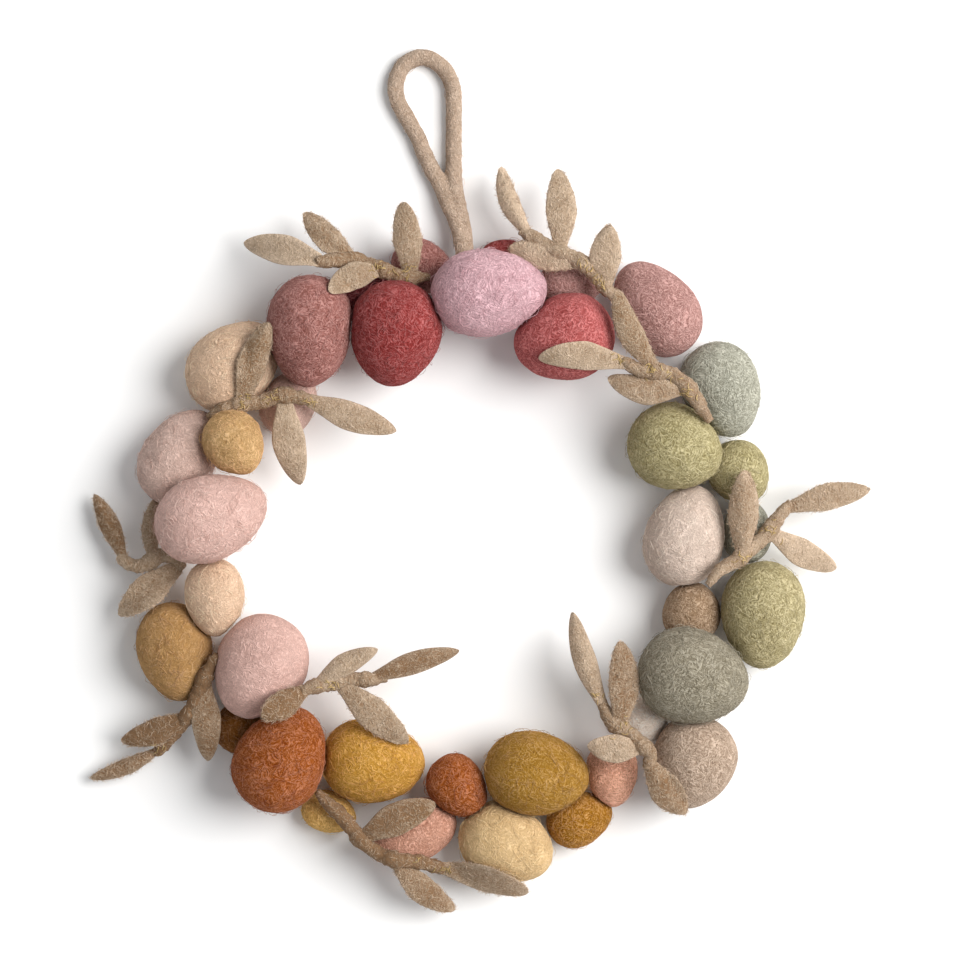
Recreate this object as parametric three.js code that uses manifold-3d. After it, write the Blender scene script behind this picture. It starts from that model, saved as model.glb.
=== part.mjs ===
// Wreath of felted wool eggs with sprigs of felt leaves and a felt hanging loop.
// It lies face up: +Z comes out of its face, +Y points to the hanging loop. Millimetres.
// Origin: middle of the whole outline, on the surface that the wreath lies on.
import * as THREE from 'three';
import { mergeVertices } from 'three/addons/utils/BufferGeometryUtils.js';
import Module from 'manifold-3d';

const wasm = await Module();
wasm.setup();

// How the felt is worked
const gap = 0.3;            // between pieces that touch
const squash = 2.4;         // how far two eggs press into each other
const restSpot = 0.7;       // how much of a lying egg is pressed flat by the surface
const eggTaper = 0.13;      // how much slimmer the narrow end of an egg is
const leafThick = 2.4;
const stemThick = 6.2;
const cordThick = 7.0;      // hanging loop
const leafClear = 1.0;      // leaf above the egg that it lies on
const stemRise = 3.0;       // stem's middle above the egg that it lies on

// How fine the faces are
const largeEgg = { sides: 14, rings: 8 };
const smallEgg = { sides: 11, rings: 7 };
const smallWidth = 29;      // an egg no wider than this is a small one
const leafSides = 8;
const leafRings = 9;
const stemSides = 7;
const profileSteps = 24;
const taperSteps = 60;
const leafStart = 4;        // steps of a stem's path that a leaf keeps from its ends

const dyes = {
  mauve: '#aa7375', raspberry: '#a04146', maroon: '#8c3c44', orchid: '#d6acba', coral: '#be5052',
  dustyRose: '#b27d7b', sage: '#a8ac9e', apricot: '#d4b296', palePink: '#d8b4aa', ochre: '#c8a064',
  blushPink: '#deb6af', lilacPink: '#bea29b', camel: '#b9915a', rosePink: '#d7afaa', mustard: '#9b7332',
  rust: '#b45f32', golden: '#c89641', lightMustard: '#af8c4b', rose: '#d7a091', cream: '#debe8c',
  oldGold: '#aa823c', amber: '#be822d', terraRose: '#c3877a', offWhite: '#e4d4c4', sageGrey: '#969687',
  taupe: '#aa8c76', taupePink: '#b9a08e', moss: '#aaa56e', blush: '#decdc1', olive: '#a5a069',
  leafOat: '#b99f82', loopOat: '#be9f87',
};

// Eggs, lowest first, because each is set down on the ones before it.
// x, y: middle. long, wide: size. turn: heading of the narrow end from +X. lean: how far it noses up.
const eggs = [
  { name: 'egg_mauve_back', dye: 'mauve', x: -24.5, y: 89.7, long: 27, wide: 22, turn: 330, lean: 0 },
  { name: 'egg_maroon_back', dye: 'maroon', x: -51, y: 78.8, long: 29.5, wide: 21, turn: 30, lean: 0 },
  { name: 'egg_raspberry_back', dye: 'raspberry', x: 11, y: 92, long: 25, wide: 18.5, turn: 0, lean: 0 },
  { name: 'egg_orchid_back', dye: 'dustyRose', x: 38.6, y: 83, long: 28, wide: 22.7, turn: 15, lean: 0 },
  { name: 'egg_pale_back', dye: 'palePink', x: -81, y: 32.5, long: 28.6, wide: 22.7, turn: 60, lean: 0 },
  { name: 'egg_mustard_back', dye: 'mustard', x: -101, y: -104.4, long: 25, wide: 21, turn: 40, lean: 0 },
  { name: 'egg_mustard_low', dye: 'lightMustard', x: -64.3, y: -141.2, long: 23.5, wide: 17.6, turn: 340, lean: 0 },
  { name: 'egg_amber_low', dye: 'amber', x: 42, y: -143.8, long: 28.6, wide: 22.7, turn: 25, lean: 0 },
  { name: 'egg_sage_back', dye: 'sage', x: 112.6, y: -22, long: 27, wide: 21, turn: 90, lean: 0 },
  { name: 'egg_apricot_large', dye: 'apricot', x: -104.2, y: 47.7, long: 43.7, wide: 34.4, turn: 42, lean: 0 },
  { name: 'egg_lilac', dye: 'lilacPink', x: -126.8, y: 9.6, long: 43, wide: 31, turn: 57, lean: 0 },
  { name: 'egg_camel', dye: 'camel', x: -129, y: -73, long: 42, wide: 31.5, turn: 280, lean: 0 },
  { name: 'egg_rose_low', dye: 'rose', x: -29.4, y: -149.7, long: 40.3, wide: 25.2, turn: 205, lean: 0 },
  { name: 'egg_cream', dye: 'cream', x: 10.8, y: -153.8, long: 41, wide: 32.8, turn: 335, lean: 0 },
  { name: 'egg_taupe_pink', dye: 'taupePink', x: 89.5, y: -119.5, long: 40.3, wide: 35.3, turn: 250, lean: 0 },
  { name: 'egg_off_white', dye: 'offWhite', x: 69.7, y: -100.6, long: 22.5, wide: 20.5, turn: 60, lean: 20 },
  { name: 'egg_taupe_small', dye: 'taupe', x: 89, y: -56, long: 26.5, wide: 24.4, turn: 90, lean: 20 },
  { name: 'egg_olive', dye: 'olive', x: 119, y: -57.3, long: 45.4, wide: 35.3, turn: 268, lean: 0 },
  { name: 'egg_moss_small', dye: 'moss', x: 109.2, y: 2.7, long: 27.7, wide: 25.2, turn: 300, lean: 0 },
  { name: 'egg_blush', dye: 'blush', x: 86.2, y: -24, long: 43.7, wide: 33.6, turn: 75, lean: 0 },
  { name: 'egg_sage_large', dye: 'sage', x: 101.6, y: 37.6, long: 41.2, wide: 32.8, turn: 290, lean: 0 },
  { name: 'egg_dusty_rose', dye: 'dustyRose', x: 74, y: 72, long: 44.4, wide: 32.8, turn: 128, lean: 0 },
  { name: 'egg_ochre_small', dye: 'ochre', x: -103.4, y: 14.8, long: 28.8, wide: 25.2, turn: 300, lean: 20 },
  { name: 'egg_apricot_small', dye: 'apricot', x: -112, y: -49.8, long: 32.8, wide: 25.2, turn: 272, lean: 0 },
  { name: 'egg_terra_small', dye: 'terraRose', x: 55.4, y: -124.5, long: 28.6, wide: 21.8, turn: 270, lean: 0 },
  { name: 'egg_rust_small', dye: 'rust', x: -9.7, y: -129.6, long: 28.6, wide: 23.9, turn: 312, lean: 0 },
  { name: 'egg_mauve_large', dye: 'mauve', x: -71.8, y: 62, long: 47, wide: 36.1, turn: 268, lean: 0 },
  { name: 'egg_raspberry_large', dye: 'raspberry', x: -36, y: 61, long: 44.5, wide: 38.6, turn: 262, lean: 0 },
  { name: 'egg_coral_large', dye: 'coral', x: 34.9, y: 59.2, long: 42.8, wide: 36.1, turn: 195, lean: 0 },
  { name: 'egg_orchid_large', dye: 'orchid', x: 3.4, y: 78, long: 48.7, wide: 36.5, turn: 3, lean: 0 },
  { name: 'egg_pink_large', dye: 'blushPink', x: -112.8, y: -16, long: 48.6, wide: 36, turn: 21, lean: 0 },
  { name: 'egg_pink_round', dye: 'rosePink', x: -92.9, y: -79.2, long: 45.4, wide: 38.6, turn: 245, lean: 0 },
  { name: 'egg_rust_large', dye: 'rust', x: -83.8, y: -117.5, long: 46.2, wide: 37.8, turn: 62, lean: 0 },
  { name: 'egg_golden', dye: 'golden', x: -45.4, y: -119, long: 43.7, wide: 35.3, turn: 355, lean: 0 },
  { name: 'egg_old_gold', dye: 'oldGold', x: 23.5, y: -124, long: 44.5, wide: 35.3, turn: 353, lean: 0 },
  { name: 'egg_moss_large', dye: 'moss', x: 82, y: 13.2, long: 41, wide: 36.1, turn: 340, lean: 25 },
  { name: 'egg_sage_grey', dye: 'sageGrey', x: 89, y: -83, long: 47, wide: 39.9, turn: 348, lean: 0 },
];

// Sprigs: a stem through its points, and the leaves sewn to it. over: the eggs that lift it.
// A leaf starts on the stem next to root and ends at tip. bow: how far it bends to its left.
// arch: how far its middle rises. fold: how far its edges droop below its ridge.
const at = (x, y, z) => new THREE.Vector3(x, y, z);
const sprigs = [
  {
    name: 'sprig_top_left',
    over: ['egg_maroon_back', 'egg_mauve_back', 'egg_mauve_large'],
    stem: [at(-69, 90.5, 22), at(-60.5, 91.5, 24), at(-52, 91.5, 25), at(-39.5, 87, 26), at(-33, 85, 26),
      at(-21.5, 84.5, 24)],
    leaves: [
      { root: [-66, 91.5], tip: at(-100, 99.5, 17), wide: 13, bow: -1, arch: 2, fold: 1 },
      { root: [-53.5, 90.5], tip: at(-74.5, 112, 20), wide: 11.3, bow: 1, arch: 3, fold: 1.5 },
      { root: [-40.5, 89], tip: at(-63.5, 78.5, 32), wide: 11.8, bow: -2, arch: 4, fold: 1 },
      { root: [-29, 86.5], tip: at(-32.5, 116, 30), wide: 12.2, bow: 0, arch: 3, fold: 1.5 },
    ],
  },
  {
    name: 'sprig_top_right',
    over: ['egg_raspberry_back', 'egg_orchid_back', 'egg_dusty_rose'],
    stem: [at(16.5, 104, 22), at(23.5, 100.5, 23), at(30, 96.5, 25), at(38, 93, 27), at(44.5, 89, 28),
      at(51, 81.5, 28), at(56, 75.5, 27)],
    leaves: [
      { root: [21.5, 102.5], tip: at(8.5, 131.5, 16), wide: 8.8, bow: 2.5, arch: 2, fold: 2.5 },
      { root: [34, 96.5], tip: at(32.5, 130.5, 20), wide: 13, bow: -1, arch: 3, fold: 1 },
      { root: [41.5, 89], tip: at(12, 97, 21), wide: 12.6, bow: 0, arch: 2, fold: 1 },
      { root: [52, 79.5], tip: at(54, 106.5, 31), wide: 13.4, bow: 1, arch: 3, fold: 1.5 },
    ],
  },
  {
    name: 'sprig_right_shoulder',
    over: ['egg_coral_large', 'egg_dusty_rose', 'egg_sage_large'],
    stem: [at(59, 49.5, 38), at(67.5, 45, 38), at(79, 44, 37), at(85, 39.5, 37), at(91, 31.5, 35),
      at(96, 24, 32)],
    leaves: [
      { root: [59, 49.5], tip: at(24, 50.5, 40), wide: 12, bow: -2, arch: 2, fold: 1 },
      { root: [74, 45], tip: at(56.5, 79, 42), wide: 11, bow: 3, arch: 3, fold: 1.5 },
      { root: [88, 39.5], tip: at(53, 42, 34), wide: 12.6, bow: 3, arch: 3, fold: 1 },
    ],
  },
  {
    name: 'sprig_upper_left',
    over: ['egg_pale_back', 'egg_apricot_large'],
    stem: [at(-114.5, 26, 24), at(-109, 29, 26), at(-100.5, 31.5, 28), at(-92, 32.5, 28), at(-83.5, 35, 28),
      at(-75, 34, 28), at(-71, 33, 27)],
    leaves: [
      { root: [-100.5, 32.5], tip: at(-88.5, 65.5, 37), wide: 12.6, bow: 1, arch: 3, fold: 3 },
      { root: [-82.5, 34], tip: at(-76, -2.5, 21), wide: 14, bow: -1.5, arch: 3, fold: 1 },
      { root: [-72, 32.5], tip: at(-35.5, 20, 23), wide: 12.6, bow: -0.5, arch: 2, fold: 1 },
    ],
  },
  {
    name: 'sprig_left',
    over: ['egg_camel'],
    stem: [at(-153, -32.5, 12), at(-148.5, -36, 13), at(-142.5, -36.5, 14), at(-136, -32.5, 14),
      at(-130, -33, 14), at(-125.5, -38, 14)],
    leaves: [
      { root: [-150, -34], tip: at(-163.8, -6.5, 8), wide: 8.8, bow: -0.5, arch: 2, fold: 2.5 },
      { root: [-141, -31.5], tip: at(-137.5, -8, 12), wide: 8.4, bow: 1, arch: 1, fold: 2 },
      { root: [-127.5, -37], tip: at(-153, -57.5, 12), wide: 13.9, bow: 0, arch: 4, fold: 1 },
    ],
  },
  {
    name: 'sprig_lower_left',
    over: ['egg_camel', 'egg_mustard_back'],
    stem: [at(-137.5, -116.5, 10), at(-132, -110, 13), at(-123.5, -100, 18), at(-119.5, -92.5, 22),
      at(-116, -84, 26), at(-111, -73.5, 29)],
    leaves: [
      { root: [-123.5, -99], tip: at(-152, -111, 11), wide: 11.2, bow: 1.5, arch: 2, fold: 1 },
      { root: [-137.5, -116.5], tip: at(-165.5, -127, 6), wide: 7, bow: 1.5, arch: 1, fold: 2 },
      { root: [-116, -84], tip: at(-115, -119, 16), wide: 12.6, bow: 0, arch: 3, fold: 1 },
    ],
  },
  {
    name: 'sprig_inner_left',
    over: ['egg_pink_round', 'egg_rust_large', 'egg_golden'],
    stem: [at(-75, -88.5, 38), at(-69, -86.5, 36), at(-62.5, -85.5, 34), at(-56.5, -84, 33), at(-46, -84, 32),
      at(-39.5, -83.5, 31)],
    leaves: [
      { root: [-70, -84], tip: at(-43, -71, 38), wide: 9.5, bow: 1.4, arch: 2, fold: 2 },
      { root: [-75, -89], tip: at(-91, -99.5, 44), wide: 11.8, bow: 0, arch: 2, fold: 1 },
      { root: [-59, -86.5], tip: at(-30.5, -110.5, 32), wide: 13.5, bow: -0.5, arch: 3, fold: 1 },
      { root: [-46.5, -83.5], tip: at(-9, -72, 28), wide: 9.7, bow: 1, arch: 3, fold: 2 },
    ],
  },
  {
    name: 'sprig_bottom',
    over: ['egg_mustard_low', 'egg_rose_low', 'egg_golden', 'egg_cream'],
    stem: [at(-69, -131.5, 23), at(-62.5, -138, 23), at(-56.5, -144, 23), at(-50, -152, 23),
      at(-44, -157, 22), at(-36, -160, 20), at(-25, -161.5, 19), at(-14.5, -165, 18)],
    leaves: [
      { root: [-49, -149.5], tip: at(-19, -136, 29), wide: 14, bow: 1, arch: 3, fold: 1 },
      { root: [-36.5, -160.5], tip: at(-11, -182.5, 11), wide: 11.8, bow: -2, arch: 2, fold: 1 },
      { root: [-14.5, -163], tip: at(20, -174, 15), wide: 11.8, bow: 1, arch: 2, fold: 1 },
    ],
  },
  {
    name: 'sprig_lower_right',
    over: ['egg_off_white', 'egg_terra_small', 'egg_taupe_pink'],
    stem: [at(51, -94.5, 30), at(55, -102, 32), at(61.5, -106, 33), at(67.5, -111.5, 34), at(71, -115.5, 34),
      at(69.5, -121, 33)],
    leaves: [
      { root: [51, -94.5], tip: at(38.5, -56, 24), wide: 10, bow: 1.5, arch: 3, fold: 2 },
      { root: [59, -102], tip: at(58.5, -68, 32), wide: 13, bow: -1.5, arch: 3, fold: 1 },
      { root: [67.5, -113], tip: at(44.5, -111.5, 36), wide: 12.2, bow: 1, arch: 2, fold: 1 },
      { root: [67.5, -120], tip: at(86, -140.5, 29), wide: 14, bow: -1, arch: 3, fold: 2.5 },
    ],
  },
  {
    name: 'sprig_right',
    over: ['egg_blush', 'egg_sage_back', 'egg_moss_small'],
    stem: [at(95, -44.5, 31), at(100.5, -38, 31), at(107.5, -34, 29), at(114, -28.5, 26), at(120, -23.5, 24),
      at(124.5, -17, 23), at(130.5, -10, 22)],
    leaves: [
      { root: [109, -31.5], tip: at(110.5, 3.5, 31), wide: 13, bow: 0, arch: 4, fold: 3 },
      { root: [130.5, -8.5], tip: at(164, -4.5, 19), wide: 11.3, bow: 1, arch: 2, fold: 1 },
      { root: [123.5, -24], tip: at(150, -38, 15), wide: 11.8, bow: -1, arch: 2, fold: 1 },
    ],
  },
];

// The hanging loop's cord, in two halves that meet at its top and lie fused from the fork down
const loopRight = [at(-7, 88, 13), at(-6.5, 95.5, 12), at(-7.2, 105, 9), at(-10, 117.5, 5.5), at(-11.2, 126, 4),
  at(-11.5, 140, 3.4), at(-11.5, 160.5, 3.4), at(-12, 167, 3.4), at(-15, 173, 3.4), at(-19.8, 177.5, 3.4),
  at(-25.5, 179, 3.4), at(-29, 178.2, 3.4)];
const loopLeft = [at(-22, 178.6, 3.4), at(-25.5, 179, 3.4), at(-31, 177, 3.4), at(-35, 172, 3.4), at(-36.2, 166, 3.4),
  at(-35, 160, 3.4), at(-31, 152.5, 3.4), at(-27, 145.5, 3.4), at(-24, 138, 3.4), at(-21, 132, 3.6),
  at(-17, 124.5, 4.2), at(-13.5, 116, 6.2), at(-9, 105, 9.4), at(-7.5, 95.5, 12.4), at(-7, 88, 13)];

// How far an egg of this shape bulges from its axis, at u from -1 at its blunt end to 1 at its narrow end
function bulge(egg, u) {
  return egg.wide / 2 * Math.sqrt(Math.max(0, 1 - u * u)) * (1 - eggTaper * u);
}

function prepare(egg) {
  const turn = THREE.MathUtils.degToRad(egg.turn);
  const lean = THREE.MathUtils.degToRad(egg.lean);
  const flat = Math.cos(lean);
  egg.axis = new THREE.Vector3(flat * Math.cos(turn), flat * Math.sin(turn), Math.sin(lean));
  egg.profile = [];
  for (let i = 0; i <= profileSteps; i++) {
    const u = -Math.cos(Math.PI * i / profileSteps);
    egg.profile.push({ along: u * egg.long / 2, out: bulge(egg, u) });
  }
  egg.place = new THREE.Vector3(egg.x, egg.y, 0);
  egg.contacts = [];
  return egg;
}

// How far an egg reaches from its middle in a direction
function reach(egg, way) {
  const along = way.dot(egg.axis);
  const across = Math.sqrt(Math.max(0, 1 - along * along));
  return Math.max(...egg.profile.map((p) => along * p.along + across * p.out));
}

// How deep two eggs press into each other, and the direction from a to b in which that is least
function press(a, b) {
  const between = b.place.clone().sub(a.place);
  const depthAlong = (way) => reach(a, way) + reach(b, way.clone().negate()) - way.dot(between);
  let way = between.clone().normalize();
  let depth = depthAlong(way);
  for (let step = 0.4; step > 0.01; step *= 0.6) {
    const side = new THREE.Vector3(-way.y, way.x, 0.01).normalize();
    const up = way.clone().cross(side).normalize();
    for (const [s, t] of [[1, 0], [-1, 0], [0, 1], [0, -1], [1, 1], [-1, -1], [1, -1], [-1, 1]]) {
      const trial = way.clone().addScaledVector(side, s * step).addScaledVector(up, t * step).normalize();
      const found = depthAlong(trial);
      if (found < depth) {
        depth = found;
        way = trial;
      }
    }
  }
  return { depth, way };
}

// Sets an egg down until it lies on the surface or presses into an egg that lies there
function settle(egg, laid) {
  const floor = reach(egg, new THREE.Vector3(0, 0, -1)) - restSpot;
  const near = laid.filter((other) => other.place.clone().setZ(0).distanceTo(egg.place.clone().setZ(0)) < 50);
  const free = (z) => {
    egg.place.z = z;
    return near.every((other) => press(egg, other).depth < squash);
  };
  let high = 80;
  let low = floor;
  for (let z = high; z > floor; z -= 2) {
    if (!free(z)) {
      low = z;
      break;
    }
    high = z;
  }
  if (low === floor && free(floor)) {
    return;
  }
  while (high - low > 0.1) {
    const middle = (high + low) / 2;
    if (free(middle)) {
      high = middle;
    } else {
      low = middle;
    }
  }
  egg.place.z = high;
}

// Between three.js shapes and the solids that join and cut
function solidOf(geometry) {
  const bare = new THREE.BufferGeometry();
  bare.setAttribute('position', geometry.getAttribute('position').clone());
  bare.setIndex(geometry.getIndex());
  const merged = mergeVertices(bare, 1e-4);
  const index = merged.getIndex().array;
  const kept = [];
  for (let i = 0; i < index.length; i += 3) {
    const [a, b, c] = index.slice(i, i + 3);
    if (a !== b && b !== c && c !== a) {
      kept.push(a, b, c);
    }
  }
  return new wasm.Manifold(new wasm.Mesh({
    numProp: 3,
    vertProperties: new Float32Array(merged.getAttribute('position').array),
    triVerts: new Uint32Array(kept),
  }));
}

function geometryOf(solid) {
  const mesh = solid.getMesh();
  const geometry = new THREE.BufferGeometry();
  geometry.setAttribute('position', new THREE.BufferAttribute(new Float32Array(mesh.vertProperties), 3));
  geometry.setIndex(Array.from(mesh.triVerts));
  geometry.computeVertexNormals();
  return geometry;
}

function largestOf(solid) {
  const bodies = solid.decompose();
  return bodies.reduce((a, b) => (b.volume() > a.volume() ? b : a));
}

// An egg's whole form, grown all round by extra
function eggSolid(egg, extra) {
  const { sides, rings } = egg.wide > smallWidth ? largeEgg : smallEgg;
  const points = [];
  for (let i = 0; i <= rings; i++) {
    const u = -Math.cos(Math.PI * i / rings);
    const out = i === 0 || i === rings ? 0 : bulge(egg, u) + extra;
    points.push(new THREE.Vector2(out, u * (egg.long / 2 + extra)));
  }
  const geometry = new THREE.LatheGeometry(points, sides);
  const toAxis = new THREE.Quaternion().setFromUnitVectors(new THREE.Vector3(0, 1, 0), egg.axis);
  geometry.applyQuaternion(toAxis);
  geometry.translate(egg.place.x, egg.place.y, egg.place.z);
  return solidOf(geometry);
}

// Keeps what lies behind a plane that faces way and passes through point
function trimmed(solid, way, point) {
  return solid.trimByPlane([-way.x, -way.y, -way.z], -way.dot(point));
}

const laidEggs = [];
for (const egg of eggs.map(prepare)) {
  settle(egg, laidEggs);
  laidEggs.push(egg);
}

// Eggs press flat against each other: both are cut back to one shared plane, a gap apart
for (let i = 0; i < laidEggs.length; i++) {
  for (let j = i + 1; j < laidEggs.length; j++) {
    const a = laidEggs[i];
    const b = laidEggs[j];
    if (a.place.distanceTo(b.place) > 50) {
      continue;
    }
    const { depth, way } = press(a, b);
    if (depth > -gap) {
      const back = (depth + gap) / 2;
      a.contacts.push({ way, point: a.place.clone().addScaledVector(way, reach(a, way) - back) });
      const other = way.clone().negate();
      b.contacts.push({ way: other, point: b.place.clone().addScaledVector(other, reach(b, other) - back) });
    }
  }
}

// Height of an egg's top over a place, sloping off evenly past its shoulder
const shoulder = Math.SQRT1_2;
function topOver(egg, x, y) {
  const heading = egg.axis.clone().setZ(0).normalize();
  const away = new THREE.Vector3(x - egg.place.x, y - egg.place.y, 0);
  const along = away.dot(heading);
  const across = Math.sqrt(Math.max(0, away.lengthSq() - along * along));
  const half = egg.wide / 2;
  const share = Math.hypot(along / (egg.long / 2), across / half);
  const rise = share < shoulder ? Math.sqrt(1 - share * share) : 2 * shoulder - share;
  return egg.place.z + half * rise;
}

function coverOver(names, x, y) {
  return Math.max(...laidEggs.filter((egg) => names.includes(egg.name)).map((egg) => topOver(egg, x, y)));
}

// A round cord along points, both ends closed and drawn in to endShare of its thickness
function cordSolid(points, thick, sides, steps, endShare) {
  const section = new THREE.Shape();
  for (let i = 0; i < sides; i++) {
    const turn = 2 * Math.PI * i / sides;
    const corner = new THREE.Vector2(Math.cos(turn), Math.sin(turn)).multiplyScalar(thick / 2);
    if (i === 0) {
      section.moveTo(corner.x, corner.y);
    } else {
      section.lineTo(corner.x, corner.y);
    }
  }
  section.closePath();
  const path = new THREE.CatmullRomCurve3(points);
  const geometry = new THREE.ExtrudeGeometry(section, { steps, bevelEnabled: false, extrudePath: path });
  if (endShare < 1) {
    taperEnds(geometry, path, thick * 1.5, endShare);
  }
  return solidOf(geometry);
}

// Draws a cord's ends in over a run, down to a share of its thickness
function taperEnds(geometry, path, run, endShare) {
  const places = path.getSpacedPoints(taperSteps);
  const step = path.getLength() / taperSteps;
  const spots = geometry.getAttribute('position');
  for (let i = 0; i < spots.count; i++) {
    const spot = new THREE.Vector3().fromBufferAttribute(spots, i);
    const nearest = places.reduce((best, p, k) => (p.distanceTo(spot) < places[best].distanceTo(spot) ? k : best), 0);
    const inside = Math.min(nearest, taperSteps - nearest) * step;
    const share = endShare + (1 - endShare) * Math.min(1, inside / run);
    spot.lerpVectors(places[nearest], spot, share);
    spots.setXYZ(i, spot.x, spot.y, spot.z);
  }
}

// A felt leaf: a flattened ball drawn out along its midline, its edges below or beside its ridge
function leafSolid(leaf, start, over) {
  const tip = leaf.tip;
  const heading = tip.clone().sub(start).setZ(0).normalize();
  const left = new THREE.Vector3(-heading.y, heading.x, 0);
  const middle = start.clone().lerp(tip, 0.5).addScaledVector(left, leaf.bow * 2);
  middle.z += leaf.arch * 2;
  const midline = new THREE.QuadraticBezierCurve3(start, middle, tip);
  const geometry = new THREE.SphereGeometry(1, leafSides, leafRings);
  const spots = geometry.getAttribute('position');
  for (let i = 0; i < spots.count; i++) {
    const share = (1 - spots.getY(i)) / 2;
    const ring = Math.sqrt(Math.max(0, 1 - spots.getY(i) ** 2));
    const side = ring > 1e-6 ? spots.getX(i) / ring : 0;
    const up = ring > 1e-6 ? spots.getZ(i) / ring : 0;
    const swell = Math.sin(Math.PI * share ** 0.9);
    const spot = midline.getPoint(share);
    spot.addScaledVector(left, side * leaf.wide / 2 * swell ** 0.65);
    spot.z -= leaf.fold * side * side;
    spot.z = Math.max(spot.z, coverOver(over, spot.x, spot.y) + leafClear + leafThick / 2);
    spot.z += up * leafThick / 2 * Math.min(1, 1.6 * swell);
    spots.setXYZ(i, spot.x, spot.y, spot.z);
  }
  return solidOf(geometry);
}

function sprigSolid(sprig) {
  const lifted = sprig.stem.map((p) => at(p.x, p.y, Math.max(p.z, coverOver(sprig.over, p.x, p.y) + stemRise)));
  const path = new THREE.CatmullRomCurve3(lifted);
  const places = path.getSpacedPoints(taperSteps).slice(leafStart, -leafStart);
  let solid = cordSolid(lifted, stemThick, stemSides, Math.round(path.getLength() / 5), 0.5);
  for (const leaf of sprig.leaves) {
    const root = at(leaf.root[0], leaf.root[1], 0);
    const off = (p) => Math.hypot(p.x - root.x, p.y - root.y);
    const start = places.reduce((a, b) => (off(b) < off(a) ? b : a));
    solid = solid.add(leafSolid(leaf, start, sprig.over));
  }
  return solid;
}

// Cuts a piece back from each egg that it lies against, and keeps its main body
function clearOfEggs(solid) {
  let left = solid;
  for (const egg of laidEggs) {
    const { min, max } = left.boundingBox();
    const reachOut = egg.long / 2 + gap;
    const apart = ['x', 'y', 'z'].some((k, i) => egg.place[k] + reachOut < min[i] || egg.place[k] - reachOut > max[i]);
    if (!apart) {
      left = left.subtract(eggSolid(egg, gap));
    }
  }
  return largestOf(left);
}

const surface = { way: new THREE.Vector3(0, 0, -1), point: new THREE.Vector3(0, 0, 0) };
const pieces = [];
for (const egg of laidEggs) {
  let solid = trimmed(eggSolid(egg, 0), surface.way, surface.point);
  for (const contact of egg.contacts) {
    solid = trimmed(solid, contact.way, contact.point);
  }
  pieces.push({ name: egg.name, dye: egg.dye, solid });
}
for (const sprig of sprigs) {
  pieces.push({ name: sprig.name, dye: 'leafOat', solid: clearOfEggs(sprigSolid(sprig)) });
}
const loopHalves = cordSolid(loopRight, cordThick, 8, 20, 1).add(cordSolid(loopLeft, cordThick, 8, 22, 1));
const loop = trimmed(clearOfEggs(loopHalves), surface.way, surface.point);
pieces.push({ name: 'hanging_loop', dye: 'loopOat', solid: loop });

const wreath = new THREE.Group();
for (const piece of pieces) {
  const material = new THREE.MeshStandardMaterial({ color: dyes[piece.dye], roughness: 0.95, metalness: 0 });
  const mesh = new THREE.Mesh(geometryOf(piece.solid), material);
  mesh.name = piece.name;
  wreath.add(mesh);
}

// The middle of the outline goes over the origin, and the lowest point onto the surface
const outline = new THREE.Box3().setFromObject(wreath);
const middle = outline.getCenter(new THREE.Vector3());
wreath.position.set(-middle.x, -middle.y, -outline.min.z);

const garland = new THREE.Group();
garland.add(wreath);

export default garland;
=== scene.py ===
# Felt egg wreath: wool eggs, sprigs of felt leaves and a felt hanging loop, lying face up on a pale floor.
# Tables are in millimetres, as a felt maker measures; the scene itself is in metres.
import math
import random
import bpy
import bmesh
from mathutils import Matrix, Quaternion, Vector, noise
from mathutils.bvhtree import BVHTree


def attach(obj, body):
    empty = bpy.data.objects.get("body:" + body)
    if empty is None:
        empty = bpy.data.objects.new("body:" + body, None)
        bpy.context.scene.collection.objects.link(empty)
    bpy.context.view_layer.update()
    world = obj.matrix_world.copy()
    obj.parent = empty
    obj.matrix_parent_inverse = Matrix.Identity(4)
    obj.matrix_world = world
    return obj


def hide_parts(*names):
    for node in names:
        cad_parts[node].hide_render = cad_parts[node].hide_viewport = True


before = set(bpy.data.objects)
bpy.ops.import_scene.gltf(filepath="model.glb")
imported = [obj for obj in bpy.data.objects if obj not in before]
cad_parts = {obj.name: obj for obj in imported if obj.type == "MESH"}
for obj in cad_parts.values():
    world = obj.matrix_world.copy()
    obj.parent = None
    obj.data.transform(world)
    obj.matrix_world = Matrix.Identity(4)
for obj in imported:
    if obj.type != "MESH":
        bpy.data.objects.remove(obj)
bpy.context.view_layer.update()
scene = bpy.context.scene
mm = 0.001
partShift = Vector((0.75, 0.287, 0))  # from the tables' origin to the middle of the wreath's outline
print("frame loaded:", len(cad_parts), "nodes")

# Camera, floor and light

cameraSet = {"height": 2.0, "x": 0.42, "y": -0.21, "lens": 176.34, "sensor": 36}
floorSet = {"size": 6.0, "drop": 0.0, "colour": (0.98, 0.98, 0.98)}
worldSet = {"colour": (0.965, 0.985, 1.0), "strength": 0.42}
keyLight = {"place": (1.3, 0.28, 1.55), "size": 1.7, "power": 58.0, "colour": (1.0, 0.99, 0.975)}


def makeCamera():
    data = bpy.data.cameras.new("photoCamera")
    data.lens = cameraSet["lens"]
    data.sensor_width = cameraSet["sensor"]
    data.clip_start = 0.05
    data.clip_end = 20
    camera = bpy.data.objects.new("photoCamera", data)
    camera.location = (cameraSet["x"] * mm, cameraSet["y"] * mm, cameraSet["height"])
    scene.collection.objects.link(camera)
    scene.camera = camera


def makeLight(name, kit):
    data = bpy.data.lights.new(name, "AREA")
    data.shape = "DISK"
    data.size = kit["size"]
    data.energy = kit["power"]
    data.color = kit["colour"]
    lamp = bpy.data.objects.new(name, data)
    lamp.location = kit["place"]
    lamp.rotation_euler = Vector(kit["place"]).to_track_quat("Z", "Y").to_euler()
    scene.collection.objects.link(lamp)


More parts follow.
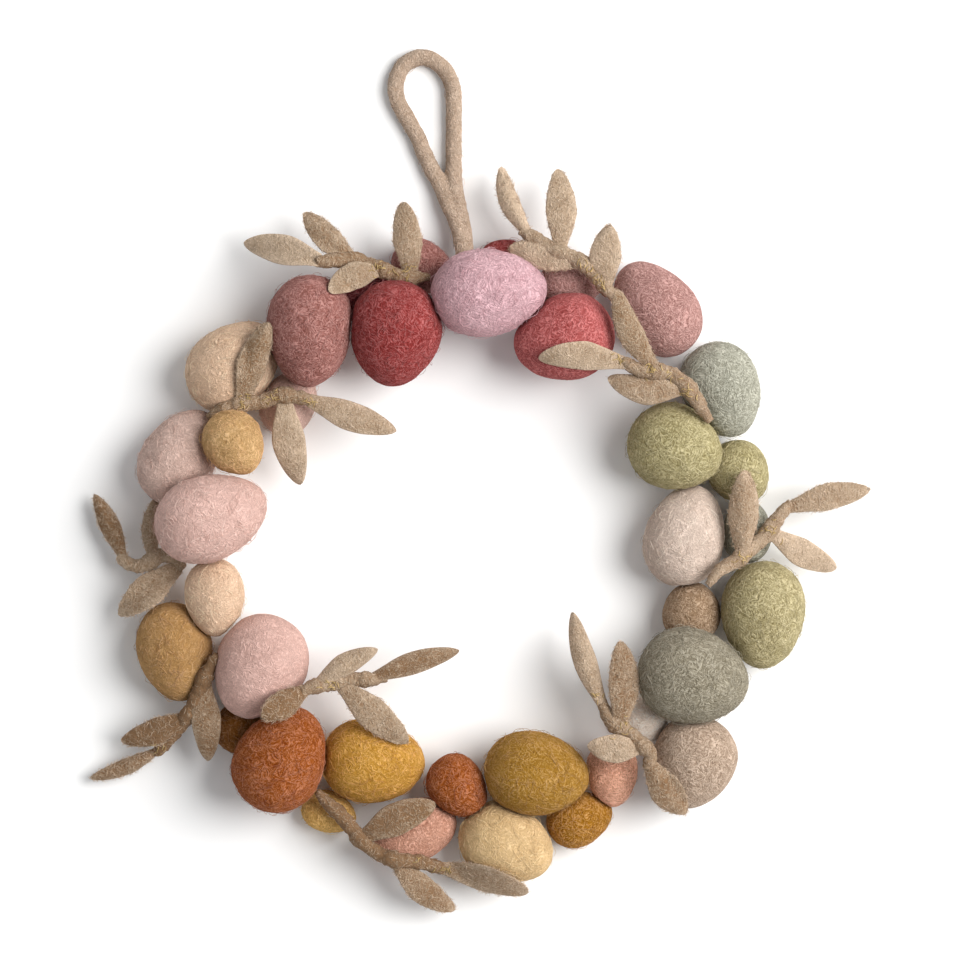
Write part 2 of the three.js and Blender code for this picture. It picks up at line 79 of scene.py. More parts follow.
def addNode(tree, kind, inputs=None, **settings):
    made = tree.nodes.new(kind)
    for key, value in settings.items():
        setattr(made, key, value)
    for key, value in (inputs or {}).items():
        if isinstance(value, bpy.types.NodeSocket):
            tree.links.new(value, made.inputs[key])
        else:
            made.inputs[key].default_value = value
    return made


def makeFloor():
    mesh = bpy.data.meshes.new("floor")
    bm = bmesh.new()
    bmesh.ops.create_grid(bm, x_segments=1, y_segments=1, size=floorSet["size"] / 2)
    bm.to_mesh(mesh)
    bm.free()
    material = bpy.data.materials.new("floorPaint")
    material.use_nodes = True
    shader = material.node_tree.nodes["Principled BSDF"]
    shader.inputs["Base Color"].default_value = (*floorSet["colour"], 1)
    shader.inputs["Roughness"].default_value = 0.9
    shader.inputs["Specular IOR Level"].default_value = 0.1
    mesh.materials.append(material)
    floor = bpy.data.objects.new("floor", mesh)
    floor.location.z = -floorSet["drop"]
    scene.collection.objects.link(floor)


def makeWorld():
    world = bpy.data.worlds.new("studio")
    world.use_nodes = True
    background = world.node_tree.nodes["Background"]
    background.inputs["Color"].default_value = (*worldSet["colour"], 1)
    background.inputs["Strength"].default_value = worldSet["strength"]
    scene.world = world


makeCamera()
makeWorld()
makeFloor()
makeLight("key", keyLight)
scene.view_settings.view_transform = "Standard"
print("camera, floor and light made")

# Felt

dyes = {
    "mauve": (152, 101, 93), "raspberry": (142, 56, 54), "maroon": (123, 51, 54), "orchid": (196, 157, 163),
    "coral": (170, 86, 84), "dusty_rose": (167, 125, 118), "sage": (157, 155, 140), "apricot": (214, 181, 153),
    "pale_pink": (215, 179, 167), "ochre": (191, 153, 104), "blush_pink": (210, 173, 162),
    "lilac_pink": (198, 169, 157), "camel": (171, 131, 82), "rose_pink": (207, 169, 158),
    "mustard": (122, 75, 21), "light_mustard": (214, 168, 96), "rust": (147, 78, 25), "golden": (184, 135, 54),
    "rose": (190, 140, 118), "cream": (205, 173, 127), "old_gold": (156, 115, 43), "amber": (156, 107, 28),
    # off_white is the egg's pale felt made paler still, painted light for an egg that sits low in its neighbours'
    # shade
    "terra_rose": (205, 152, 126), "off_white": (238, 221, 205), "sage_grey": (136, 128, 110),
    "taupe": (152, 126, 100), "taupe_pink": (167, 145, 126), "moss": (161, 150, 109), "blush": (204, 184, 170),
    "olive": (162, 150, 111), "leaf_oat": (183, 160, 136), "loop_oat": (184, 161, 141),
    "gold_thread": (172, 144, 84),
}

# How felt looks. Scales are features per metre; shares say how much each layer changes the shade.
# strands: thickness and length of its hairs (mm), how their run is turned (radians), share of the shade (below
# nought where they are dark).
eggLook = {
    "warp": 0.011, "warpScale": 120,
    "mottleScale": 75, "mottle": 0.40,
    "heatherScale": 1250, "heather": 0.34,
    "strands": ((0.62, 12.0, (0.3, 0.9, 0.2), 0.32), (0.58, 11.0, (1.3, 0.2, 0.9), 0.32),
                (0.64, 12.0, (0.8, 1.4, 2.1), 0.32), (0.56, 10.0, (2.2, 0.6, 1.5), 0.30),
                (0.60, 11.0, (0.1, 2.0, 0.7), 0.30), (0.60, 9.0, (1.7, 1.1, 0.4), -0.22)),
    "pitScale": 1350, "pit": 0.16, "pitSpan": (0.30, 0.38),
    "dark": 0.50, "pale": 1.6, "warmth": 0.3, "rim": 0.0,
    "bump": 0.7, "bumpDepth": 0.00040,
    "sheen": 0.14,
}
leafLook = {
    **eggLook, "warp": 0.004, "mottleScale": 170, "mottle": 0.60, "heatherScale": 1150, "heather": 0.75,
    "strands": ((0.50, 3.0, (0.3, 0.9, 0.2), 0.30), (0.46, 2.5, (1.3, 0.2, 0.9), 0.30),
                (0.52, 3.0, (0.8, 1.4, 2.1), 0.28), (0.50, 2.5, (1.7, 1.1, 0.4), -0.18)),
    "pit": 0.10, "warmth": 0.9, "rim": 0.26, "bump": 0.9, "bumpDepth": 0.00050, "sheen": 0.10,
}
loopLook = {**leafLook, "mottle": 0.45, "heather": 0.60, "pit": 0.08, "rim": 0.0}
reliefShares = {"heather": 0.6, "strands": 1.6, "pits": -0.5}  # how much each layer raises or sinks the felt
strandMean, rimMean = 0.12, 0.35  # what these layers are on average, so that they leave the dye as it is


def linear(channel):
    share = channel / 255
    return share / 12.92 if share <= 0.04045 else ((share + 0.055) / 1.055) ** 2.4


def dyeColour(dye):
    return tuple(linear(c) for c in dyes[dye])


# Paler hairs of the same dye, and deeper ones, which are a little warmer
def paler(colour, share):
    return tuple(min(1.0, c * (1 + 0.25 * share) + 0.05 * share) for c in colour)


def deeper(colour, share, warmth=0.3):
    strongest = max(colour)
    return tuple(c * share * (c / strongest) ** warmth for c in colour)


# One layer of hairs that run one way and bend with the warp
def strandLines(tree, spots, thick, long, turn):
    run = addNode(tree, "ShaderNodeMapping", {
        "Vector": spots, "Rotation": turn, "Scale": (thick * mm, thick * mm, long * mm)}, vector_type="TEXTURE")
    hairs = addNode(tree, "ShaderNodeTexNoise", {"Vector": run.outputs[0], "Scale": 1.0, "Detail": 0.6})
    return addNode(tree, "ShaderNodeMapRange", {
        0: hairs.outputs["Fac"], 1: 0.55, 2: 0.68, 3: 0.0, 4: 1.0}).outputs[0]


# total + share * (value - middle)
def weigh(tree, total, value, share, middle=0.0):
    made = addNode(tree, "ShaderNodeMath", {0: value, 1: middle}, operation="SUBTRACT").outputs[0]
    return addNode(tree, "ShaderNodeMath", {0: made, 1: share, 2: total}, operation="MULTIPLY_ADD").outputs[0]


# blend: how strongly this wool's paler and deeper fibres show
def feltMaterial(name, dye, look, blend):
    colour = dyeColour(dye)
    material = bpy.data.materials.new(name)
    material.use_nodes = True
    tree = material.node_tree
    shader = tree.nodes["Principled BSDF"]
    spots = addNode(tree, "ShaderNodeTexCoord").outputs["Object"]
    bend = addNode(tree, "ShaderNodeTexNoise", {"Vector": spots, "Scale": look["warpScale"], "Detail": 2.0})
    centred = addNode(tree, "ShaderNodeVectorMath", {0: bend.outputs["Color"], 1: (0.5, 0.5, 0.5)},
                      operation="SUBTRACT")
    pushed = addNode(tree, "ShaderNodeVectorMath", {0: centred.outputs[0], "Scale": look["warp"]},
                     operation="SCALE")
    warped = addNode(tree, "ShaderNodeVectorMath", {0: spots, 1: pushed.outputs[0]}, operation="ADD").outputs[0]

    mottle = addNode(tree, "ShaderNodeTexNoise", {"Vector": spots, "Scale": look["mottleScale"], "Detail": 3.0})
    heather = addNode(tree, "ShaderNodeTexNoise", {
        "Vector": warped, "Scale": look["heatherScale"], "Detail": 3.0, "Roughness": 0.65})
    pits = addNode(tree, "ShaderNodeTexNoise", {"Vector": spots, "Scale": look["pitScale"], "Detail": 1.0})
    low, high = look["pitSpan"]
    pitSpots = addNode(tree, "ShaderNodeMapRange", {
        0: pits.outputs["Fac"], 1: low, 2: high, 3: 1.0, 4: 0.0}).outputs[0]

    shade = addNode(tree, "ShaderNodeMath", {
        0: mottle.outputs["Fac"], 1: look["mottle"], 2: 0.5 - look["mottle"] / 2},
        operation="MULTIPLY_ADD").outputs[0]
    shade = weigh(tree, shade, heather.outputs["Fac"], look["heather"] * blend, 0.5)
    relief = addNode(tree, "ShaderNodeMath", {0: heather.outputs["Fac"], 1: reliefShares["heather"]},
                     operation="MULTIPLY").outputs[0]
    for thick, long, turn, share in look["strands"]:
        lines = strandLines(tree, warped, thick, long, turn)
        shade = weigh(tree, shade, lines, share * blend, strandMean)
        relief = weigh(tree, relief, lines, share * reliefShares["strands"])
    shade = weigh(tree, shade, pitSpots, -look["pit"] * blend)
    relief = weigh(tree, relief, pitSpots, reliefShares["pits"])
    if look["rim"]:  # leaves: rim is 1 at the edge and tip; the second attribute is painted shade on each leaf, and painted light where it is below nought
        rim = addNode(tree, "ShaderNodeAttribute", attribute_name="rim").outputs["Fac"]
        shade = weigh(tree, shade, rim, look["rim"], rimMean)
        painted_shade = addNode(tree, "ShaderNodeAttribute", attribute_name="painted_shade").outputs["Fac"]
        shade = weigh(tree, shade, painted_shade, -1.0)
    ramp = addNode(tree, "ShaderNodeValToRGB", {0: shade})
    ramp.color_ramp.elements[0].color = (*deeper(colour, look["dark"], look["warmth"]), 1)
    ramp.color_ramp.elements[1].color = (*paler(colour, look["pale"]), 1)
    middle = ramp.color_ramp.elements.new(0.5)
    middle.color = (*colour, 1)
    tree.links.new(ramp.outputs["Color"], shader.inputs["Base Color"])

    bump = addNode(tree, "ShaderNodeBump", {
        "Height": relief, "Strength": look["bump"], "Distance": look["bumpDepth"]})
    tree.links.new(bump.outputs["Normal"], shader.inputs["Normal"])
    shader.inputs["Roughness"].default_value = 0.97
    shader.inputs["Specular IOR Level"].default_value = 0.12
    shader.inputs["Sheen Weight"].default_value = look["sheen"]
    shader.inputs["Sheen Roughness"].default_value = 0.6
    shader.inputs["Sheen Tint"].default_value = (*paler(colour, 2), 1)
    return material


looseDark, loosePale = 0.80, 2.4  # the deepest and the palest loose fibres


# Loose fibres are dyed with the felt, some paler and some deeper (tint)
def fibreMaterial(name, dye, look):
    colour = dyeColour(dye)
    material = bpy.data.materials.new(name)
    material.use_nodes = True
    tree = material.node_tree
    shader = tree.nodes["Principled BSDF"]
    tint = addNode(tree, "ShaderNodeAttribute", attribute_name="tint")
    ramp = addNode(tree, "ShaderNodeValToRGB", {0: tint.outputs["Fac"]})
    ramp.color_ramp.elements[0].color = (*deeper(colour, looseDark), 1)
    ramp.color_ramp.elements[1].color = (*paler(colour, loosePale), 1)
    tree.links.new(ramp.outputs["Color"], shader.inputs["Base Color"])
    shader.inputs["Roughness"].default_value = 0.85
    shader.inputs["Specular IOR Level"].default_value = 0.2
    shader.inputs["Sheen Weight"].default_value = look["sheen"]
    return material


threadLook = {"plies": 2600, "tint": 0.5, "dark": 0.60, "pale": 2, "bump": 0.5, "bumpDepth": 0.0002}


# Sewing thread: its plies catch the light in turn
def threadMaterial(name, dye):
    colour = dyeColour(dye)
    material = bpy.data.materials.new(name)
    material.use_nodes = True
    tree = material.node_tree
    shader = tree.nodes["Principled BSDF"]
    spots = addNode(tree, "ShaderNodeTexCoord").outputs["Object"]
    plies = addNode(tree, "ShaderNodeTexNoise", {"Vector": spots, "Scale": threadLook["plies"], "Detail": 1.0})
    tint = addNode(tree, "ShaderNodeAttribute", attribute_name="tint")
    mixed = addNode(tree, "ShaderNodeMath", {
        0: tint.outputs["Fac"], 1: threadLook["tint"], 2: plies.outputs["Fac"]}, operation="MULTIPLY_ADD")
    ramp = addNode(tree, "ShaderNodeValToRGB", {0: mixed.outputs[0]})
    ramp.color_ramp.elements[0].position = 0.35
    ramp.color_ramp.elements[0].color = (*deeper(colour, threadLook["dark"]), 1)
    ramp.color_ramp.elements[1].color = (*paler(colour, threadLook["pale"]), 1)
    tree.links.new(ramp.outputs["Color"], shader.inputs["Base Color"])
    bump = addNode(tree, "ShaderNodeBump", {
        "Height": plies.outputs["Fac"], "Strength": threadLook["bump"], "Distance": threadLook["bumpDepth"]})
    tree.links.new(bump.outputs["Normal"], shader.inputs["Normal"])
    shader.inputs["Roughness"].default_value = 0.5
    return material


lookOf = {"leaf_oat": leafLook, "loop_oat": loopLook}
strongBlend = ("mauve", "raspberry", "maroon", "coral", "dusty_rose", "sage", "moss", "olive", "sage_grey",
               "taupe", "taupe_pink", "terra_rose", "rust", "amber")
softBlend = ("apricot", "pale_pink", "blush_pink", "lilac_pink", "rose_pink", "camel", "blush", "off_white",
             "cream")
plainBlend = 0.85
blendOf = {**dict.fromkeys(strongBlend, 1.3), **dict.fromkeys(softBlend, 0.55)}
feltOf = {}
for dye in dyes:
    feltOf[dye] = feltMaterial("felt_" + dye, dye, lookOf.get(dye, eggLook), blendOf.get(dye, plainBlend))
fibreOf = {dye: fibreMaterial("fibre_" + dye, dye, lookOf.get(dye, eggLook)) for dye in dyes}
goldThread = threadMaterial("gold_thread", "gold_thread")
print("felts dyed:", len(feltOf))


# Puts a finished mesh in the scene, on the wreath's one body
def addPiece(name, mesh, material):
    mesh.materials.clear()
    mesh.materials.append(material)
    mesh.shade_smooth()
    piece = bpy.data.objects.new(name, mesh)
    scene.collection.objects.link(piece)
    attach(piece, "root")
    return piece


# Loose fibres, as thin closed threads that start and end in the felt. Neighbours lie nearly alike (swirlSize).
fibreSet = {"points": 5, "thick": 0.17, "long": (3.0, 8.5), "curl": 1.1, "kink": 0.28, "lift": 0.13, "sunk": 0.06,
            "strays": 0.26, "strayLift": 1.1, "shortStray": 5, "swirlSize": 11.0, "spread": 0.55, "floorGap": 0.15}
fibreGrain = Vector((0.36, 0.48, 0.8))  # fibres run across this direction where nothing swirls them
mergeGap = 1e-7  # a tube's open end and its cap lie this near, in metres


# A three-sided thread section, as wide as the threads that follow it
def threadSection(thick):
    curve = bpy.data.curves.new("thread_section", "CURVE")
    curve.dimensions = "2D"
    spline = curve.splines.new("POLY")
    spline.points.add(2)
    out = thick / 2 * mm
    corners = [(math.cos(-turn) * out, math.sin(-turn) * out, 0, 1) for turn in (0, 2.094, 4.189)]
    spline.points.foreach_set("co", [c for corner in corners for c in corner])
    spline.use_cyclic_u = True
    section = bpy.data.objects.new("thread_section", curve)
    scene.collection.objects.link(section)
    return section


# A closed mesh of threads. threads: one list of places for each; tints: one shade for each
def threadMesh(name, threads, tints, section):
    curve = bpy.data.curves.new(name, "CURVE")
    curve.dimensions = "3D"
    curve.bevel_mode = "OBJECT"
    curve.bevel_object = section
    curve.use_fill_caps = True
    for places in threads:
        spline = curve.splines.new("POLY")
        spline.points.add(len(places) - 1)
        spline.points.foreach_set("co", [c for p in places for c in (*p, 1.0)])
        spline.points.foreach_set("radius", [0.5, *[1.0] * (len(places) - 2), 0.5])
    holder = bpy.data.objects.new(name, curve)
    scene.collection.objects.link(holder)
    mesh = bpy.data.meshes.new_from_object(holder.evaluated_get(bpy.context.evaluated_depsgraph_get()))
    bpy.data.objects.remove(holder)
    bpy.data.curves.remove(curve)
    each = len(mesh.vertices) // len(tints)
    shades = mesh.attributes.new("tint", "FLOAT", "POINT")
    shades.data.foreach_set("value", [tints[min(i // each, len(tints) - 1)] for i in range(len(mesh.vertices))])
    bm = bmesh.new()
    bm.from_mesh(mesh)
    bmesh.ops.remove_doubles(bm, verts=bm.verts, dist=mergeGap)
    bm.to_mesh(mesh)
    bm.free()
    mesh.name = name
    return mesh


# tree: the felt's surface. starts: (place, normal) where fibres begin
def fibreMesh(name, tree, starts, kit, draw, section):
    threads, tints = [], []
    last = kit["points"] - 1
    for place, normal in starts:
        flow = noise.noise(place / mm / kit["swirlSize"]) * 2 * math.pi + draw.gauss(0, kit["spread"])
        heading = Quaternion(normal, flow) @ normal.cross(fibreGrain).normalized()
        length = draw.uniform(*kit["long"]) * mm
        curl = draw.gauss(0, kit["curl"])
        stray = draw.random() < kit["strays"]
        high = kit["strayLift"] * draw.uniform(0.4, 1.3) if stray else kit["lift"] * draw.uniform(0.2, 1.0)
        places = []
        spot, up = place.copy(), normal.copy()
        for i in range(kit["points"]):
            share = i / last
            upright = stray and length < kit["shortStray"] * mm
            rise = high * (share ** 1.5 if upright else math.sin(math.pi * share))
            inside = kit["sunk"] if i in (0, last) and not (stray and i == last) else 0.0
            reached = spot + up * (rise - inside) * mm
            reached.z = max(reached.z, kit["floorGap"] * mm)
            places.append(reached)
            heading = Quaternion(up, curl / last + draw.gauss(0, kit["kink"])) @ heading
            ahead = spot + heading * length / last
            spot, up, _, _ = tree.find_nearest(ahead)
            heading = (heading - up * heading.dot(up)).normalized()
        threads.append(places)
        tints.append(draw.random())
    return threadMesh(name, threads, tints, section)


# Places spread over a mesh by area, with their normals
def startsOn(mesh, count, draw, wanted=None):
    faces = [f for f in mesh.polygons if wanted is None or wanted(f)]
    picked = draw.choices(faces, weights=[f.area for f in faces], k=count)
    starts = []
    for face in picked:
        corners = [mesh.vertices[v].co for v in face.vertices]
        shares = [draw.random() + 0.05 for _ in corners]
        spot = sum((c * s for c, s in zip(corners, shares)), Vector()) / sum(shares)
        starts.append((spot, face.normal.copy()))
    return starts


def surfaceTree(mesh):
    return BVHTree.FromPolygons([v.co for v in mesh.vertices], [tuple(f.vertices) for f in mesh.polygons])


# Eggs

# name, dye, x, y, z of the middle, length, width; heading of the narrow end from +X and how far it noses up, both
# in degrees
eggTable = [
    ("egg_mauve_back", "mauve", -24.5, 89.7, 10.39, 27, 22, 330, 0),
    ("egg_maroon_back", "maroon", -51, 78.8, 9.89, 29.5, 21, 30, 0),
    ("egg_raspberry_back", "raspberry", 11, 92, 8.63, 25, 18.5, 0, 0),
    ("egg_orchid_back", "dusty_rose", 38.6, 83, 10.74, 28, 22.7, 15, 0),
    ("egg_pale_back", "pale_pink", -81, 32.5, 10.74, 28.6, 22.7, 60, 0),
    ("egg_mustard_back", "mustard", -101, -104.4, 9.89, 25, 21, 40, 0),
    ("egg_mustard_low", "light_mustard", -64.3, -141.2, 8.17, 23.5, 17.6, 340, 0),
    ("egg_amber_low", "amber", 42, -143.8, 10.74, 28.6, 22.7, 25, 0),
    ("egg_sage_back", "sage", 112.6, -22, 9.89, 27, 21, 90, 0),
    ("egg_apricot_large", "apricot", -104.2, 47.7, 16.64, 43.7, 34.4, 42, 0),
    ("egg_lilac", "lilac_pink", -126.8, 9.6, 14.93, 43, 31, 57, 0),
    ("egg_camel", "camel", -129, -73, 15.18, 42, 31.5, 280, 0),
    ("egg_rose_low", "rose", -29.4, -149.7, 12.0, 40.3, 25.2, 205, 0),
    ("egg_cream", "cream", 10.8, -153.8, 15.84, 41, 32.8, 335, 0),
    ("egg_taupe_pink", "taupe_pink", 89.5, -119.5, 17.1, 40.3, 35.3, 250, 0),
    ("egg_off_white", "off_white", 69.7, -100.6, 10.11, 22.5, 20.5, 60, 20),
    ("egg_taupe_small", "taupe", 89, -56, 12.15, 26.5, 24.4, 90, 20),
    ("egg_olive", "olive", 119, -57.3, 17.1, 45.4, 35.3, 268, 0),
    ("egg_moss_small", "moss", 109.2, 2.7, 12.0, 27.7, 25.2, 300, 0),
    ("egg_blush", "blush", 86.2, -24, 16.24, 43.7, 33.6, 75, 0),
    ("egg_sage_large", "sage", 101.6, 37.6, 15.84, 41.2, 32.8, 290, 0),
    ("egg_dusty_rose", "dusty_rose", 74, 72, 15.84, 44.4, 32.8, 128, 0),
    ("egg_ochre_small", "ochre", -103.4, 14.8, 29.38, 28.8, 25.2, 300, 20),
    ("egg_apricot_small", "apricot", -112, -49.8, 22.5, 32.8, 25.2, 272, 0),
    ("egg_terra_small", "terra_rose", 55.4, -124.5, 13.88, 28.6, 21.8, 270, 0),
    ("egg_rust_small", "rust", -9.7, -129.6, 18.81, 28.6, 23.9, 312, 0),
    ("egg_mauve_large", "mauve", -71.8, 62, 26.81, 47, 36.1, 268, 0),
    ("egg_raspberry_large", "raspberry", -36, 61, 27.31, 44.5, 38.6, 262, 0),
    ("egg_coral_large", "coral", 34.9, 59.2, 26.06, 42.8, 36.1, 195, 0),
    ("egg_orchid_large", "orchid", 3.4, 78, 30.5, 48.7, 36.5, 3, 0),
    ("egg_pink_large", "blush_pink", -112.8, -16, 31.63, 48.6, 36, 21, 0),
    ("egg_pink_round", "rose_pink", -92.9, -79.2, 23.19, 45.4, 38.6, 245, 0),
    ("egg_rust_large", "rust", -83.8, -117.5, 25.5, 46.2, 37.8, 62, 0),
    ("egg_golden", "golden", -45.4, -119, 17.1, 43.7, 35.3, 355, 0),
    ("egg_old_gold", "old_gold", 23.5, -124, 22.0, 44.5, 35.3, 353, 0),
    ("egg_moss_large", "moss", 82, 13.2, 21.56, 41, 36.1, 340, 25),
    ("egg_sage_grey", "sage_grey", 89, -83, 28.0, 47, 39.9, 348, 0),
]
eggColumns = ("name", "dye", "x", "y", "z", "long", "wide", "turn", "lean")
eggShape = {"taper": 0.13, "subdivisions": 5, "gap": 0.3, "soft": 1.1, "lump": 0.42, "lumpSize": 12.0,
            "dimple": 0.16, "dimpleSize": 4.2, "fibres": 620, "fibresOn": 44 * 35, "profileSteps": 24,
            "noiseStep": (37.1, 11.7, 5.3), "near": 50}


def prepareEgg(row):
    egg = dict(zip(eggColumns, row))
    turn, lean = math.radians(egg["turn"]), math.radians(egg["lean"])
    egg["axis"] = Vector((math.cos(lean) * math.cos(turn), math.cos(lean) * math.sin(turn), math.sin(lean)))
    egg["place"] = Vector((egg["x"], egg["y"], egg["z"])) + partShift
    egg["profile"] = []
    for i in range(eggShape["profileSteps"] + 1):
        u = -math.cos(math.pi * i / eggShape["profileSteps"])
        out = egg["wide"] / 2 * math.sqrt(max(0, 1 - u * u)) * (1 - eggShape["taper"] * u)
        egg["profile"].append((u * egg["long"] / 2, out))
    egg["contacts"] = [(Vector((0, 0, -1)), Vector((0, 0, 0)))]  # the floor it lies on
    return egg


# How far an egg reaches from its middle in a direction
def reachOf(egg, way):
    along = way.dot(egg["axis"])
    across = math.sqrt(max(0, 1 - along * along))
    return max(along * a + across * o for a, o in egg["profile"])


# How deep two eggs press into each other, and the direction in which that is least
def pressBetween(a, b):
    between = b["place"] - a["place"]

    def depthAlong(way):
        return reachOf(a, way) + reachOf(b, -way) - way.dot(between)

    way = between.normalized()
    depth = depthAlong(way)
    step = 0.4
    while step > 0.01:
        side = Vector((-way.y, way.x, 0.01)).normalized()
        up = way.cross(side).normalized()
        for s, t in ((1, 0), (-1, 0), (0, 1), (0, -1), (1, 1), (-1, -1), (1, -1), (-1, 1)):
            trial = (way + side * s * step + up * t * step).normalized()
            found = depthAlong(trial)
            if found < depth:
                depth, way = found, trial
        step *= 0.6
    return depth, way


eggs = [prepareEgg(row) for row in eggTable]
for i, a in enumerate(eggs):
    for b in eggs[i + 1:]:
        if (a["place"] - b["place"]).length > eggShape["near"]:
            continue
        depth, way = pressBetween(a, b)
        if depth > -eggShape["gap"]:
            back = (depth + eggShape["gap"]) / 2
            a["contacts"].append((way, a["place"] + way * (reachOf(a, way) - back)))
            b["contacts"].append((-way, b["place"] - way * (reachOf(b, -way) - back)))


# Moves a spot back softly behind each plane that the egg is pressed flat against
def pressedIn(spot, contacts, soft):
    for way, point in contacts:
        out = (spot - point).dot(way)
        if out > -soft:
            spot = spot + way * (-soft * math.exp(-(out + soft) / soft) - out)
    return spot


# Where in the noise a piece takes its lumps from
def noisePlace(kit, seed):
    return Vector([seed * step for step in kit["noiseStep"]])


def eggMesh(egg, seed):
    bm = bmesh.new()
    bmesh.ops.create_icosphere(bm, subdivisions=eggShape["subdivisions"], radius=1)
    toAxis = Vector((1, 0, 0)).rotation_difference(egg["axis"])
    away = noisePlace(eggShape, seed)
    for vert in bm.verts:
        ball = vert.co.copy()
        slim = egg["wide"] / 2 * (1 - eggShape["taper"] * ball.x)
        local = Vector((ball.x * egg["long"] / 2, ball.y * slim, ball.z * slim))
        lump = eggShape["lump"] * noise.noise(local / eggShape["lumpSize"] + away)
        dimple = eggShape["dimple"] * noise.noise(local / eggShape["dimpleSize"] + away * 2)
        local += ball * (lump + dimple)
        spot = egg["place"] + toAxis @ local
        vert.co = pressedIn(spot, egg["contacts"], eggShape["soft"]) * mm
    bmesh.ops.recalc_face_normals(bm, faces=bm.faces)
    mesh = bpy.data.meshes.new(egg["name"])
    bm.to_mesh(mesh)
    bm.free()
    return mesh


section = threadSection(fibreSet["thick"])
for seed, egg in enumerate(eggs, 1):
    mesh = eggMesh(egg, seed)
    piece = addPiece(egg["name"] + "_felt", mesh, feltOf[egg["dye"]])
    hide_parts(egg["name"])
    draw = random.Random(seed)
    count = round(eggShape["fibres"] * egg["long"] * egg["wide"] / eggShape["fibresOn"])
    starts = startsOn(mesh, count, draw)
    loose = fibreMesh(egg["name"] + "_fibres", surfaceTree(mesh), starts, fibreSet, draw, section)
    addPiece(egg["name"] + "_fibres", loose, fibreOf[egg["dye"]])
print("eggs felted:", len(eggs))


# Height of an egg's top over a place, sloping off evenly past its shoulder
def topOver(egg, x, y):
    heading = Vector((egg["axis"].x, egg["axis"].y, 0)).normalized()
    away = Vector((x - egg["place"].x, y - egg["place"].y, 0))
    along = away.dot(heading)
    across = math.sqrt(max(0, away.length_squared - along * along))
    share = math.hypot(along / (egg["long"] / 2), across / (egg["wide"] / 2))
    rise = math.sqrt(1 - share * share) if share < math.sqrt(0.5) else 2 * math.sqrt(0.5) - share
    return egg["place"].z + egg["wide"] / 2 * rise


def coverOver(names, x, y):
    return max(topOver(egg, x, y) for egg in eggs if egg["name"] in names)
